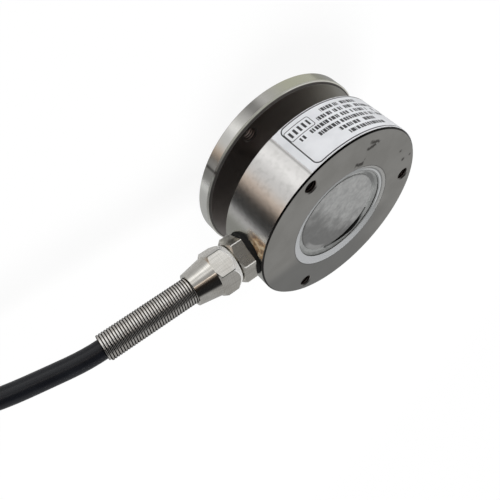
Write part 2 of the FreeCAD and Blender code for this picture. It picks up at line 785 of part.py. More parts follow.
# Cable from inside the ring, through the gland and the spring, down to the floor
inner_end = size("cavity_radius") + size("jacket_inset")
fall = gland_level - size("cable_radius")
points = [FreeCAD.Vector(inner_end, 0, gland_level)]
for reach, down, aside in zip(CABLE_REACH, CABLE_FALL, CABLE_SIDE):
    points.append(FreeCAD.Vector(
        size("spring_tip") + reach,
        aside * size("cable_sway"),
        gland_level - down * fall,
    ))
solid, radii, length = tube(points, size("cable_radius"))
shaped("cable", solid)
print("cable run %.1f mm, bend radii %s mm" % (length, ", ".join("%.0f" % r for r in radii)))

# Cores inside the cavity, from the jacket's end down to the board
pitch = size("core_pitch") / 2
spread = size("core_spread")
landing = size("board_top") + size("core_radius")
turn_in = size("cavity_radius") - size("core_diameter")
pad_start = size("resistor_far")
pad_end = pad_start - spread
cores = []
for side in (-1, 1):
    for high, place in ((-1, 0.5), (1, 1.5)):
        start_y = side * pitch
        start_z = gland_level + high * pitch
        end_y = side * place * spread
        solid, radii, length = tube((
            FreeCAD.Vector(inner_end, start_y, start_z),
            FreeCAD.Vector(turn_in, start_y, start_z),
            FreeCAD.Vector(pad_start, end_y, landing),
            FreeCAD.Vector(pad_end, end_y, landing),
        ), size("core_radius"))
        cores.append(solid)
shaped("inner_cores", Part.makeCompound(cores))

# Put-away coil: the outer shape of its turns, with the stretch that comes in and the tail on top
body = on_coil(new_body("cable_coil"))
sketch = new_sketch(body, "CoilSection", "XZ_Plane")
outline(sketch, (
    ("coil_inner", None),
    ("coil_outer", None),
    ("coil_outer", "coil_shelf"),
    ("coil_step", "coil_shelf"),
    ("coil_step", "coil_height"),
    ("coil_inner", "coil_height"),
))
turns = turn_about(body, "Revolution", "Turns", sketch, "V_Axis")
fillet(body, "TurnRounding", turns, (
    ("coil_inner", None),
    ("coil_outer", None),
    ("coil_inner", "coil_height"),
), "coil_rounding")
sketch = new_sketch(body, "TailSection", "XZ_Plane")
rectangle(sketch, "coil_west", "coil_step_west", "coil_shelf", "coil_height")
turn_about(body, "Revolution", "Tail", sketch, "V_Axis", sweep="tail_angle", symmetric=True)
sketch = new_sketch(body, "EntrySection", "YZ_Plane")
circle(sketch, "tail_radius", "cable_radius", "cable_radius")
extrude(body, "Pad", "Entry", sketch, "coil_entry", reverse=True)
sketch = new_sketch(body, "TieGroove", "XZ_Plane")
rectangle(sketch, "tie_slot_west", "tie_slot_east", "tie_slot_low", "tie_slot_top")
rectangle(sketch, "tie_inner_west", "tie_inner_east", "tie_thickness", "tie_inner_top")
extrude(body, "Pocket", "TieSeat", sketch, "tie_slot", symmetric=True)

# Tie that holds the turns, with its head on the outside
body = on_coil(new_body("coil_tie"))
sketch = new_sketch(body, "TieSection", "XZ_Plane")
rectangle(sketch, "coil_west", "coil_inner_west", None, "coil_height")
rectangle(sketch, "tie_inner_west", "tie_inner_east", "tie_thickness", "tie_inner_top")
extrude(body, "Pad", "TieBand", sketch, "tie_width", symmetric=True)
sketch = new_sketch(body, "TieHeadSection", "XZ_Plane")
rectangle(sketch, "tie_head_x", "coil_west", "tie_head_low", "tie_head_high")
extrude(body, "Pad", "TieHead", sketch, "tie_head_width", symmetric=True)

# Sleeve on the cable's end, and the bare-ended cores and screen that come out of it
body = on_coil(new_body("end_sleeve", turned="end_sleeve_turn"))
sketch = new_sketch(body, "EndSleeveSection", "XZ_Plane")
circle(sketch, "end_circle", "end_level", "end_sleeve_radius")
turn_about(body, "Revolution", "EndSleeve", sketch, "V_Axis", sweep="end_sleeve_sweep")

for label, x, z, radius, key in (
    ("core_red", "core_near", "core_low", "core_radius", "red"),
    ("core_black", "core_far", "core_low", "core_radius", "black"),
    ("core_green", "core_near", "core_high", "core_radius", "green"),
    ("core_white", "core_far", "core_high", "core_radius", "white"),
    ("screen_tail", "end_circle", "screen_level", "screen_radius", "screen"),
):
    body = on_coil(new_body(label, turned="end_sleeve_turn"))
    sketch = new_sketch(body, key + "_cover_section", "XZ_Plane")
    circle(sketch, x, z, radius)
    turn_about(body, "Revolution", key + "_cover_run", sketch, "V_Axis", sweep=key + "_cover", reverse=True)
    sketch = new_sketch(body, key + "_wire_section", "XZ_Plane")
    circle(sketch, x, z, "bare_radius")
    turn_about(body, "Revolution", key + "_wire_run", sketch, "V_Axis", sweep=key + "_sweep", reverse=True)

doc.recompute()
for item in doc.Objects:
    if "Invalid" in item.State or "Error" in item.State:
        raise ValueError("%s is %s" % (item.Name, item.State))
os.makedirs("parts", exist_ok=True)
for piece in PIECES:
    shape = piece.Shape
    if shape.isNull() or not shape.isValid():
        raise ValueError(piece.Label + " has no valid shape")
    shape.exportStep("parts/%s.step" % piece.Label)
    box = shape.BoundBox
    print("%-15s solids %d volume %9.2f x %7.2f %7.2f y %7.2f %7.2f z %6.2f %6.2f" % (
        piece.Label, len(shape.Solids), shape.Volume,
        box.XMin, box.XMax, box.YMin, box.YMax, box.ZMin, box.ZMax,
    ))
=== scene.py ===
import json
import math
from functools import reduce

import bpy
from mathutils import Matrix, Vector


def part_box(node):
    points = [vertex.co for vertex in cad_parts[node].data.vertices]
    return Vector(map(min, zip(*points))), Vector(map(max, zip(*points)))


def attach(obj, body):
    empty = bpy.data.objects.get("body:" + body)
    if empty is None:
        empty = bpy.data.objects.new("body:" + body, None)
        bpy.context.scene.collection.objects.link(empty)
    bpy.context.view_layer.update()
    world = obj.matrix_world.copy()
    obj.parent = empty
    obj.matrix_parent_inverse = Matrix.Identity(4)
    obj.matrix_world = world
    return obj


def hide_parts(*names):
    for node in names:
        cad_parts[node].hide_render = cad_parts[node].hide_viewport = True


# Flange load cell on a pale studio floor. Blender works in metres. Names that end in MM are in
# millimetres, and so are the sums inside the finishes. Names that end in DEG are in degrees, and on
# the body they count about its axis from +X, where the gland is.

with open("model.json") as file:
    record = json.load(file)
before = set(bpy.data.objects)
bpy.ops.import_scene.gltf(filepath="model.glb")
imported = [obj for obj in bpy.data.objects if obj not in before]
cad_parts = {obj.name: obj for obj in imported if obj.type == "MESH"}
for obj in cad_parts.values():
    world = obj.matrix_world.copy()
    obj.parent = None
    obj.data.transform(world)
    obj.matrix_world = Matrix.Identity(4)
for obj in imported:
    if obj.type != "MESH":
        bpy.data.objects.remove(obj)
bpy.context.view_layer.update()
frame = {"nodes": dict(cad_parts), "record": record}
NODES = frame["nodes"]

MM = 0.001


def box_mm(node):
    """Lowest and highest corner of a node, in millimetres."""
    low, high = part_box(node)
    return [value / MM for value in low], [value / MM for value in high]


# Sizes that the finishes follow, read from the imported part
BODY_HIGH = box_mm("elastic_body")[1]
LABEL_LOW, LABEL_HIGH = box_mm("label")
NUT_LOW, NUT_HIGH = box_mm("gland_nut")
SPRING_LOW, SPRING_HIGH = box_mm("relief_spring")
BOLTS = {mount["name"]: mount for mount in frame["record"]["mounts"]}["mounting_bolts"]["dims"]
RING_MM = BODY_HIGH[0]
FACE_MM = BODY_HIGH[2]
HOLE_CIRCLE_MM = BOLTS["pcd_mm"] / 2.0
HOLE_MM = BOLTS["hole_r_mm"]
COVER_MM = box_mm("cover_disc")[1][0]
SEAT_MM = box_mm("sealing_bead")[1][0]
GLAND_MM = (NUT_LOW[2] + NUT_HIGH[2]) / 2.0
NUT_BACK_MM = NUT_LOW[0]
SPRING_MM = (SPRING_HIGH[2] - SPRING_LOW[2]) / 2.0

# Sizes of the part that its boxes don't give
HOLE_COUNT = 3
HOLE_PITCH_MM = 0.7
COUNTERSINK_MM = 0.35
PLATE_MM = 4.5
BEVEL_MM = 0.85
GAP_MM = 7.0
RING_BASE_MM = PLATE_MM + GAP_MM
EDGE_MM = 0.4
RECESS_LEDGE_MM = 2.0
RECESS_MM = SEAT_MM + RECESS_LEDGE_MM
HEX_SIDES = 6
HEX_FLATS_MM = 11.0
HEX_CORNER_MM = HEX_FLATS_MM / math.sqrt(3.0)
NUT_FACE_MM = 5.05
NUT_TAPER_MM = 2.1
NUT_TAPER_SLOPE = (HEX_CORNER_MM - NUT_FACE_MM) / NUT_TAPER_MM
CORE_MM = 0.65
CORE_BARE_MM = 0.35

# Places of the body's marks and of the light and shade painted on it. A speck has its centre, reach and
# fade, a scratch its ends and half width.
GLAND_SIDE_DEG = (-19.0, 18.0)
WARM_PATCH_DEG = (-20.0, -8.0)
RIM_OLIVE_DEG = (-125.0, -88.0)
RIM_DARK_PATCH_DEG = (-76.0, -67.0)
RIM_GREY_DEG = (-60.0, -42.0)
RIM_DULL_DEG = (-37.0, -22.0)
RIM_LINE_DEG = (-31.8, -30.2)
FAR_SIDE_DEG = 200.0
DISH_SHIFT_MM = 0.3
FACE_SPECKS_MM = (
    (-19.2, -10.8, 0.1, 0.6),
    (-20.9, -6.7, 0.2, 0.6),
    (-23.4, -6.9, 0.1, 0.5),
)
FACE_SCRATCHES_MM = (
    ((-6.0, -19.8), (-9.0, -19.9), 0.42),
    ((-6.9, -21.7), (-10.1, -20.1), 0.40),
    ((-2.6, -16.7), (-5.4, -15.9), 0.50),
    ((-6.1, -17.5), (-5.5, -16.9), 0.12),
)

# Slit between the cover's edge and the sealant, painted dark as its shadow
SLIT_MM = 0.9
SLIT_START_DEG = (80.0, 96.0)
SLIT_STOP_DEG = (131.0, 144.0)

# Label print, measured along the film from its near end and up from its lower edge
LABEL_START_DEG = -65.5
BORDER_INSET_MM = 2.0
BORDER_EDGE_MM = 0.35
BORDER_WIDTH_MM = 0.26
BORDER_CORNER_MM = 1.5
BORDER_LENGTH_MM = 53.0
FIELD_RUN_MM = (2.2, 9.4)
FIELD_HEIGHT_MM = (1.7, 4.9)
FIELD_CORNER_MM = 0.5
STRIPE_PITCH_MM = 1.3
ROWS_RUN_MM = ((13.0, 25.0), (10.5, 31.0), (3.8, 32.0), (7.8, 30.0), (11.8, 24.0), (13.4, 26.0))
ROW_FIRST_MM = 2.2
ROW_PITCH_MM = 1.9
ROW_HALF_MM = 0.58

# Camera, found by matching the rims of ring and plate and the gland's axis
CAMERA_PLACE = (0.073623, -0.121589, 0.090560)
CAMERA_TURN_DEG = (-52.7536, -38.2486, 176.7758)
CAMERA_NEAR = 0.005
LENS_MM = 43.2
SENSOR_MM = 36.0

# Cable: its radius, the points of its run, then the turns of the put-away coil
CABLE_MM = 2.5
ROUTE_MM = (
    (12.0, 0.0, 19.8),
    (62.6, 0.0, 19.8),
    (70.8, 0.0, 19.8),
    (79.0, 0.0, 18.243),
    (89.9, 0.0, 15.994),
    (98.7, 0.36, 12.482),
    (107.1, 2.04, 7.188),
    (115.1, 4.56, 3.919),
    (122.7, 6.0, 2.5),
    (130.3, 6.0, 2.5),
)
COIL_MEAN_MM = 25.0
COIL_PITCH_MM = 5.2
COIL_LAYER_TURNS = 1.8
COIL_LAYERS = 10
COIL_CLIMB_TURNS = 0.28
COIL_STEPS = 25
COIL_ENTRY_MM = 17.4
COIL_OUTER_MM = COIL_MEAN_MM + COIL_PITCH_MM * COIL_LAYER_TURNS / 2.0
COIL_CENTRE_MM = (ROUTE_MM[-1][0] + COIL_ENTRY_MM, ROUTE_MM[-1][1] - COIL_OUTER_MM)

# Stripped cores lie in two columns on either side of a circle round the coil's centre
END_CIRCLE_MM = 30.38
CORE_NEAR_MM = END_CIRCLE_MM - CORE_MM
CORE_FAR_MM = END_CIRCLE_MM + CORE_MM

# Floor: its side and the stretch over which its shade fades to white, in metres
FLOOR_SIZE = 6.0
FLOOR_FADE = (0.25, 0.60)


def grey(level):
    """A colour with three equal channels."""
    return (level, level, level)


class Signal:
    """A socket of a node tree that takes part in sums, so that shader maths reads as maths."""

    def __init__(self, tree, socket):
        self.tree = tree
        self.socket = socket

    def node(self, kind, output, inputs, **settings):
        """Adds a node of any other kind, fed by name or place, and gives one of its outputs."""
        made = self.tree.nodes.new("ShaderNode" + kind)
        for name, value in settings.items():
            setattr(made, name, value)
        for key, value in inputs.items():
            feed(self.tree, made.inputs[key], value)
        return Signal(self.tree, made.outputs[output])

    def maths(self, operation, *others):
        return self.node("Math", 0, dict(enumerate((self,) + others)), operation=operation)

    def __add__(self, other):
        return self.maths("ADD", other)

    def __radd__(self, other):
        return self.maths("ADD", other)

    def __sub__(self, other):
        return self.maths("SUBTRACT", other)

    def __rsub__(self, other):
        return self * -1.0 + other

    def __mul__(self, other):
        return self.maths("MULTIPLY", other)

    def __rmul__(self, other):
        return self.maths("MULTIPLY", other)

    def __truediv__(self, other):
        return self.maths("DIVIDE", other)

    def __pow__(self, other):
        return self.maths("POWER", other)

    def __abs__(self):
        return self.maths("ABSOLUTE")

    def least(self, other):
        return self.maths("MINIMUM", other)

    def most(self, other):
        return self.maths("MAXIMUM", other)

    def rise(self, low, high):
        """From 0 at low to 1 at high, eased at both ends."""
        inputs = {"Value": self, "From Min": low, "From Max": high}
        return self.node("MapRange", 0, inputs, interpolation_type="SMOOTHSTEP")

    def above(self, level, soft):
        """1 above a level and 0 below it, eased over soft on either side."""
        return self.rise(level - soft, level + soft)

    def below(self, level, soft):
        """1 below a level and 0 above it, eased over soft on either side."""
        return 1.0 - self.above(level, soft)

    def band(self, low, high, soft):
        """1 between low and high, eased over soft on either side of both."""
        return self.above(low, soft) * self.below(high, soft)

    def blend(self, first, second):
        """The first colour where this is 0 and the second where it is 1."""
        return self.node("Mix", 2, {0: self, 6: first, 7: second}, data_type="RGBA")


def feed(tree, socket, value):
    """Links a signal to a socket, or sets the socket's own value."""
    if isinstance(value, Signal):
        tree.links.new(value.socket, socket)
    elif socket.type == "RGBA":
        socket.default_value = (*value, 1.0)
    else:
        socket.default_value = value


class Finish:
    """A material under way, with the place on the part in millimetres."""

    def __init__(self, name):
        self.material = bpy.data.materials.new(name)
        self.material.use_nodes = True
        self.tree = self.material.node_tree
        self.shader = self.tree.nodes["Principled BSDF"]
        start = self.tree.nodes.new("ShaderNodeTexCoord")
        metres = Signal(self.tree, start.outputs["Object"])
        scale = (1.0 / MM, 1.0 / MM, 1.0 / MM)
        self.place = metres.node("VectorMath", 0, {0: metres, 1: scale}, operation="MULTIPLY")
        self.x, self.y, self.z = [
            self.place.node("SeparateXYZ", axis, {0: self.place}) for axis in range(3)
        ]
        self.radius = (self.x * self.x + self.y * self.y) ** 0.5

    def angle(self):
        """Angle about the cell's axis, in radians from +X."""
        return self.y.maths("ARCTAN2", self.x)

    def degrees(self):
        """Angle about the cell's axis, in degrees from +X."""
        return self.angle() * (180.0 / math.pi)

    def towards(self, degrees):
        """How far out this place lies in one direction from the cell's axis."""
        angle = math.radians(degrees)
        return self.x * math.cos(angle) + self.y * math.sin(angle)

    def spot(self, x, y, z):
        """A vector put together from three signals or numbers."""
        return self.x.node("CombineXYZ", 0, {0: x, 1: y, 2: z})

    def noise(self, per_mm, detail=3.0, vector=None):
        """Noise from 0 to 1 with so many waves to the millimetre."""
        vector = vector or self.place
        return vector.node("TexNoise", 0, {"Vector": vector, "Scale": per_mm, "Detail": detail})

    def near(self, x, y, reach, soft):
        """1 within reach of a line along Z, fading over soft."""
        away = ((self.x - x) ** 2.0 + (self.y - y) ** 2.0) ** 0.5
        return 1.0 - away.rise(reach, reach + soft)

    def stroke(self, start, stop, half):
        """1 along a straight mark on the face, fading at its sides and ends."""
        length = math.dist(start, stop)
        lead = [(b - a) / length for a, b in zip(start, stop)]
        along = (self.x - start[0]) * lead[0] + (self.y - start[1]) * lead[1]
        across = (self.x - start[0]) * lead[1] - (self.y - start[1]) * lead[0]
        return along.band(0.0, length, 0.3) * (1.0 - abs(across).rise(half * 0.5, half * 2.0))

    def bump(self, height, depth_mm, strength):
        inputs = {"Height": height, "Distance": depth_mm * MM, "Strength": strength}
        return height.node("Bump", 0, inputs)

    def done(self, **sockets):
        """Feeds the shader's sockets, each named with _ for a space, and gives the material."""
        for name, value in sockets.items():
            feed(self.tree, self.shader.inputs[name.replace("_", " ")], value)
        return self.material


class TurnedBody(Finish):
    """The finish of the turned body, with masks for the faces that it was turned to."""

    def __init__(self, name):
        super().__init__(name)
        self.bearing = self.degrees()
        self.face = self.z.above(FACE_MM - 0.10, 0.05)
        self.edge = self.z.above(FACE_MM - EDGE_MM, 0.02) * self.radius.above(RING_MM - 0.37, 0.02)
        self.wall = self.radius.above(RING_MM - 0.2, 0.1) * self.z.above(RING_BASE_MM + 0.1, 0.1)
        self.gap = self.z.band(PLATE_MM - 0.05, RING_BASE_MM + 0.05, 0.05)
        self.bevel = self.z.above(PLATE_MM - BEVEL_MM, 0.05) * self.z.below(PLATE_MM - 0.02, 0.02)
        self.bevel = self.bevel * self.radius.above(RING_MM - BEVEL_MM - 0.05, 0.05)
        self.rim = self.z.above(0.05, 0.05) * self.z.below(PLATE_MM - BEVEL_MM - 0.05, 0.1)
        # Mask of a warm gold and brown patch on the wall beside the gland
        self.warm_patch = self.bearing.band(*WARM_PATCH_DEG, 1.5) * self.wall
        self.warm_patch = self.warm_patch * self.z.rise(GLAND_MM - 1.0, GLAND_MM + 3.0)
        shifted = self.y - DISH_SHIFT_MM
        self.from_dish = (self.x * self.x + shifted * shifted) ** 0.5
        self.dish = self.radius.above(SEAT_MM + 0.08, 0.04) * self.from_dish.below(RECESS_MM, 0.04)
        self.dish = self.dish * self.z.above(FACE_MM - 0.8, 0.1)


def tapped_holes(body):
    """Bores of the tapped holes, their countersinks on the plate, and the threads in the bores."""
    sector = 2.0 * math.pi / HOLE_COUNT
    turn = ((body.angle() / sector).maths("FRACT") - 0.5) * sector
    along = body.radius * turn.maths("COSINE") - HOLE_CIRCLE_MM
    aside = body.radius * turn.maths("SINE")
    away = (along * along + aside * aside) ** 0.5
    bore = away.below(HOLE_MM + 0.07, 0.05)
    countersink = away.below(HOLE_MM + COUNTERSINK_MM + 0.05, 0.04)
    countersink = countersink * body.z.band(PLATE_MM - COUNTERSINK_MM - 0.05, PLATE_MM + 0.1, 0.05)
    winding = body.z / HOLE_PITCH_MM + aside.maths("ARCTAN2", along) / (2.0 * math.pi)
    thread = abs(winding.maths("FRACT") - 0.5) * bore
    return bore, countersink, thread


def face_scuffs(body):
    """Broken specks and scratches on the mounting face."""
    specks = [body.near(*speck) for speck in FACE_SPECKS_MM]
    scratches = [body.stroke(*scratch) for scratch in FACE_SCRATCHES_MM]
    return reduce(Signal.most, specks + scratches) * body.noise(1.3, 4.0).rise(0.34, 0.50) * body.face


def wall_tone(body, tone):
    """The ring's wall: light, with painted shadow at the label's end, painted dark reflection beside the
    gland, and a warm gold and brown patch there.
    """
    hue = body.noise(0.8)
    tone = (body.wall * 0.85).blend(tone, (0.87, 0.855, 0.84))
    # Painted dark reflection on the wall beside the gland
    tone = (body.wall * body.bearing.band(*GLAND_SIDE_DEG, 5.0) * 0.8).blend(tone, (0.44, 0.445, 0.39))
    tone = (body.wall * hue.rise(0.45, 0.7) * 0.22).blend(tone, (0.50, 0.49, 0.46))
    # Painted shadow along the end of the label's film
    film_end = body.wall * body.bearing.band(LABEL_START_DEG + 0.4, LABEL_START_DEG + 1.4, 0.8)
    tone = (film_end * 0.6).blend(tone, grey(0.12))
    # A warm gold and brown patch on the wall beside the gland
    warm = hue.rise(0.40, 0.50).blend((0.86, 0.68, 0.45), (0.56, 0.34, 0.16))
    warm = hue.rise(0.52, 0.62).blend(warm, (0.28, 0.16, 0.09))
    return (body.warm_patch * 0.9).blend(tone, warm)


def rim_tone(body, tone):
    """The plate's rim, in painted reflections: olive on one side, bright on the gland's side, grey between,
    and a dark patch and a dark line.
    """
    # The tones round the rim are painted reflections
    tone = (body.rim * body.bearing.band(*RIM_OLIVE_DEG, 10.0)).blend(tone, (0.56, 0.56, 0.44))
    tone = (body.rim * body.bearing.rise(-27.0, -20.0)).blend(tone, (0.92, 0.92, 0.88))
    tone = (body.rim * body.bearing.band(*RIM_GREY_DEG, 4.0)).blend(tone, (0.74, 0.73, 0.70))
    # Painted dark reflections on the rim: a thin line and a patch
    line = body.bearing.band(*RIM_LINE_DEG, 0.8) * 0.8
    dark_reflections = (body.bearing.band(*RIM_DARK_PATCH_DEG, 4.0) * 0.6).most(line)
    return (body.rim * dark_reflections).blend(tone, (0.08, 0.075, 0.07))


def face_tone(body, tone, scuff):
    """The mounting face: painted shade on its +Y side, with its scuffs."""
    # Painted shade: the face darker towards +Y
    dusk = body.y.rise(4.0, 10.0) * body.x.rise(-24.0, -4.0) * body.face
    tone = (dusk * 0.8).blend(tone, (0.365, 0.365, 0.355))
    return (scuff * 0.7).blend(tone, (0.12, 0.11, 0.10))


def gap_tone(body):
    """Painted shade on the neck and the faces beside it: brown, darker near the gland, with painted light
    at the far end.
    """
    shade = body.bearing.rise(-45.0, -22.0).blend((0.44, 0.41, 0.395), (0.37, 0.345, 0.33))
    # Painted light at the gap's end away from the gland
    return body.bearing.band(-150.0, -114.0, 20.0).blend(shade, (0.62, 0.61, 0.56))


def recess_tone(body, tone):
    """Painted light and shade in the dish round the cover: paler on one side, two rings on the far side,
    dark lines in it and at its lip, and shade at the seat.
    """
    # Painted light: the dish paler on one side
    pale = body.bearing.band(-35.0, 125.0, 35.0).blend((0.33, 0.34, 0.34), (0.51, 0.52, 0.53))
    tone = body.dish.blend(tone, pale)
    # Painted light and shade: two rings on the far side with a dark line between, and a dark line on the -X
    # side
    far = body.towards(FAR_SIDE_DEG).rise(9.0, 11.5) * body.dish
    two_rings = body.radius.above(SEAT_MM + 1.0, 0.05).blend((0.52, 0.53, 0.53), (0.36, 0.36, 0.35))
    tone = far.blend(tone, two_rings)
    ring_shade_line = far * body.radius.band(SEAT_MM + 0.8, SEAT_MM + 1.15, 0.12)
    dish_shade_line = body.dish * body.radius.band(SEAT_MM + 0.15, SEAT_MM + 0.35, 0.1) * body.x.rise(-2.0, -8.0)
    tone = (dish_shade_line.most(ring_shade_line) * 0.7).blend(tone, grey(0.10))
    # Painted shade: a dark line at the dish's lip
    lip = body.from_dish.band(RECESS_MM + 0.05, RECESS_MM + 0.25, 0.15) * body.face
    tone = (lip * 0.6).blend(tone, grey(0.15))
    # Painted shade in the seat round the sealant
    seat = body.radius.below(SEAT_MM + 0.05, 0.03) * body.z.above(FACE_MM - 1.1, 0.1)
    return (seat * (1.0 - body.bearing.band(75.0, 140.0, 20.0) * 0.8)).blend(tone, grey(0.06))


def bevel_tone(body):
    """The plate's bevel, in painted reflections matched to the rim: a highlight line beside the rim on one
    side, darker stretches and the rim's dark line near the gland, and painted shade by the gap.
    """
    # Painted reflections and shade on the bevel
    light = body.z.above(PLATE_MM - 0.67, 0.05) * (1.0 - body.bearing.rise(-93.0, -86.0))
    tone = light.blend((0.52, 0.515, 0.45), (0.80, 0.79, 0.72))
    tone = body.bearing.rise(-50.0, -34.0).blend(tone, (0.22, 0.205, 0.19))
    tone = body.bearing.rise(-30.5, -27.0).blend(tone, (0.42, 0.42, 0.39))
    tone = body.z.rise(PLATE_MM - 0.55, PLATE_MM - 0.42).blend(tone, (0.06, 0.055, 0.05))
    return body.bearing.band(*RIM_LINE_DEG, 0.8).blend(tone, (0.05, 0.045, 0.04))


def turned_nickel():
    """Satin nickel on the turned body: turning marks, smudges and tapped holes, with light and shade
    painted on its wall, rim, face, gap, recess, bevel and edge.
    """
    body = TurnedBody("turned_nickel")
    bore, countersink, thread = tapped_holes(body)
    scuff = face_scuffs(body)
    flat = body.face.most(body.z.band(PLATE_MM - 0.1, PLATE_MM + 0.1, 0.05))
    rings = body.noise(6.0, vector=body.spot(body.radius, 0.0, 0.0))
    lines = body.noise(6.0, vector=body.spot(0.0, 0.0, body.z))
    marks = flat * rings + (1.0 - flat) * lines
    cloud = body.noise(0.14, 4.0)
    wave = body.noise(0.25, 2.0) * (1.0 - body.face)
    grain = body.noise(1.7, 5.0)

    tone = cloud.rise(0.35, 0.7).blend((0.60, 0.59, 0.56), (0.54, 0.53, 0.50))
    tone = wall_tone(body, tone)
    tone = rim_tone(body, tone)
    tone = face_tone(body, tone, scuff)
    tone = body.gap.blend(tone, gap_tone(body))
    # Countersinks and bores painted dark, with dark lines along the thread's roots as painted shade
    tone = countersink.blend(tone, (0.10, 0.09, 0.085))
    tone = bore.blend(tone, thread.rise(0.1, 0.4).blend((0.03, 0.026, 0.025), (0.40, 0.33, 0.30)))
    tone = recess_tone(body, tone)
    tone = body.bevel.blend(tone, bevel_tone(body))
    # Painted dark reflection on the ring's chamfered top edge
    tone = body.edge.blend(tone, (0.04, 0.038, 0.036))

    rough = 0.17 + marks * 0.10 + cloud * 0.10 + grain * 0.08
    rough = rough + body.face * 0.08 + bore * 0.15 + scuff * 0.3
    rough = rough + body.dish * 0.2 + body.bevel * 0.2 + body.warm_patch * 0.2
    rough = rough - body.wall * 0.10 - body.rim * 0.14
    dull = body.dish * 0.6 + body.bevel * 0.9 + body.warm_patch * 0.7
    dull = dull + body.rim * body.bearing.band(*RIM_DULL_DEG, 4.0) * 0.6
    return body.done(
        Base_Color=tone,
        Roughness=rough,
        Metallic=1.0 - dull,
        Normal=body.bump(marks * 0.4 + grain * 0.3 + wave * 3.0 + thread * 8.0, 0.02, 0.5),
    )


def cover_steel():
    """Cover of thin rolled steel: mottled, darker towards one side, with light arc marks, a pale band along
    part of its edge, and painted shadow along its edge, wider beside the slit.
    """
    steel = Finish("cover_steel")
    bearing = steel.degrees()
    grain = steel.noise(0.9, 5.0)
    cloud = steel.noise(0.25, 5.0)
    tone = (cloud * 0.5 + grain * 0.5).rise(0.33, 0.67).blend((0.86, 0.865, 0.85), (0.66, 0.665, 0.66))
    # The cover's colour darker towards one side
    dull = (steel.x + steel.y + (cloud - 0.5) * 16.0).rise(-4.3, 8.6)
    tone = (dull * 0.85).blend(tone, (0.30, 0.30, 0.295))
    arcs = steel.noise(1.6, vector=steel.spot(steel.radius * 2.0, steel.angle() * 1.5, 0.0)).rise(0.5, 0.62)
    arcs = arcs * steel.radius.band(7.2, 10.4, 0.6) * bearing.band(112.0, 172.0, 10.0)
    # A pale band along part of the cover's edge
    pale_band = steel.radius.rise(10.2, 10.8) * bearing.band(24.0, 66.0, 8.0)
    tone = (arcs * 0.7).most(pale_band * 0.6).blend(tone, (0.80, 0.80, 0.79))
    # Painted shadow along the cover's edge, wider beside the slit
    edge = (steel.radius + bearing.band(108.0, 128.0, 22.0) * 0.6).above(COVER_MM, 0.08)
    tone = edge.blend(tone, grey(0.01))
    return steel.done(
        Base_Color=tone,
        Roughness=0.34 + grain * 0.2,
        Metallic=0.9,
        Normal=steel.bump(grain + cloud, 0.05, 0.5),
    )


def sealant():
    """Cured grey sealant, smooth with small waves, with a stretch of painted shade, a stretch of painted
    light, and painted shadow in the slit.
    """
    bead = Finish("sealant")
    bearing = bead.degrees()
    wave = bead.noise(0.5)
    grain = bead.noise(2.5)
    tone = wave.rise(0.3, 0.7).blend((0.26, 0.265, 0.26), (0.20, 0.205, 0.20))
    # Painted shade on a stretch beside the cover
    shaded = bearing.band(-170.0, -132.0, 10.0) * bead.radius.band(COVER_MM + 0.1, COVER_MM + 1.0, 0.2)
    tone = (shaded * 0.7).blend(tone, grey(0.09))
    # Painted light: the bead paler along one stretch
    tone = bearing.band(-118.0, -32.0, 12.0).blend(tone, (0.38, 0.385, 0.385))
    # Painted shadow in the slit between the cover and the sealant
    reach = bearing.band(108.0, 132.0, 22.0) * 0.55 + (COVER_MM + SLIT_MM)
    slit = 1.0 - bead.radius.rise(reach + 0.02, reach + 0.1)
    slit = slit * bearing.rise(*SLIT_START_DEG) * (1.0 - bearing.rise(*SLIT_STOP_DEG))
    tone = slit.blend(tone, grey(0.004))
    return bead.done(
        Base_Color=tone,
        Roughness=0.40 + grain * 0.15 + slit * 0.4,
        Normal=bead.bump(wave * 2.0 + grain * 0.4, 0.1, 0.5),
    )


def outline_distance(across, up, across_ends, up_ends, corner):
    """Distance to the outline of a field with rounded corners, less than 0 inside."""
    left, right = across_ends
    low, high = up_ends
    out_across = abs(across - (left + right) / 2.0) - ((right - left) / 2.0 - corner)
    out_up = abs(up - (low + high) / 2.0) - ((high - low) / 2.0 - corner)
    outside = (out_across.most(0.0) ** 2.0 + out_up.most(0.0) ** 2.0) ** 0.5
    return outside + out_across.most(out_up).least(0.0) - corner


def label_ink(film):
    """Black of the label: a rounded border, a framed field of stripes and rows of plain bars."""
    girth = 2.0 * math.pi * RING_MM
    run = ((math.radians(LABEL_START_DEG) - film.angle()) * RING_MM / girth).maths("FRACT") * girth
    height = film.z - LABEL_LOW[2]
    border_run = (BORDER_INSET_MM, BORDER_INSET_MM + BORDER_LENGTH_MM)
    border_height = (BORDER_EDGE_MM, LABEL_HIGH[2] - LABEL_LOW[2] - BORDER_EDGE_MM)
    border = outline_distance(run, height, border_run, border_height, BORDER_CORNER_MM)
    ink = 1.0 - abs(border).rise(BORDER_WIDTH_MM / 2.0, BORDER_WIDTH_MM / 2.0 + 0.06)
    field = outline_distance(run, height, FIELD_RUN_MM, FIELD_HEIGHT_MM, FIELD_CORNER_MM)
    ink = ink.most(1.0 - abs(field).rise(0.07, 0.12))
    stripes = abs((run / STRIPE_PITCH_MM).maths("FRACT") - 0.5)
    ink = ink.most((1.0 - stripes.rise(0.22, 0.26)) * (1.0 - field.rise(-0.75, -0.70)))
    for row, (start, stop) in enumerate(ROWS_RUN_MM):
        level = ROW_FIRST_MM + row * ROW_PITCH_MM
        spaces = film.noise(1.0, 0.0, film.spot(run * 0.55, row * 7.3, 0.0)).rise(0.36, 0.38)
        sway = film.noise(1.0, 0.0, film.spot(run * 0.9, row * 3.1, 4.0))
        blocks = (run * 1.15 + sway * 1.6).maths("FRACT").rise(0.22, 0.30)
        bar = height.band(level - ROW_HALF_MM, level + ROW_HALF_MM, 0.05) * run.band(start, stop, 0.05)
        ink = ink.most(bar * spaces * blocks)
    return ink


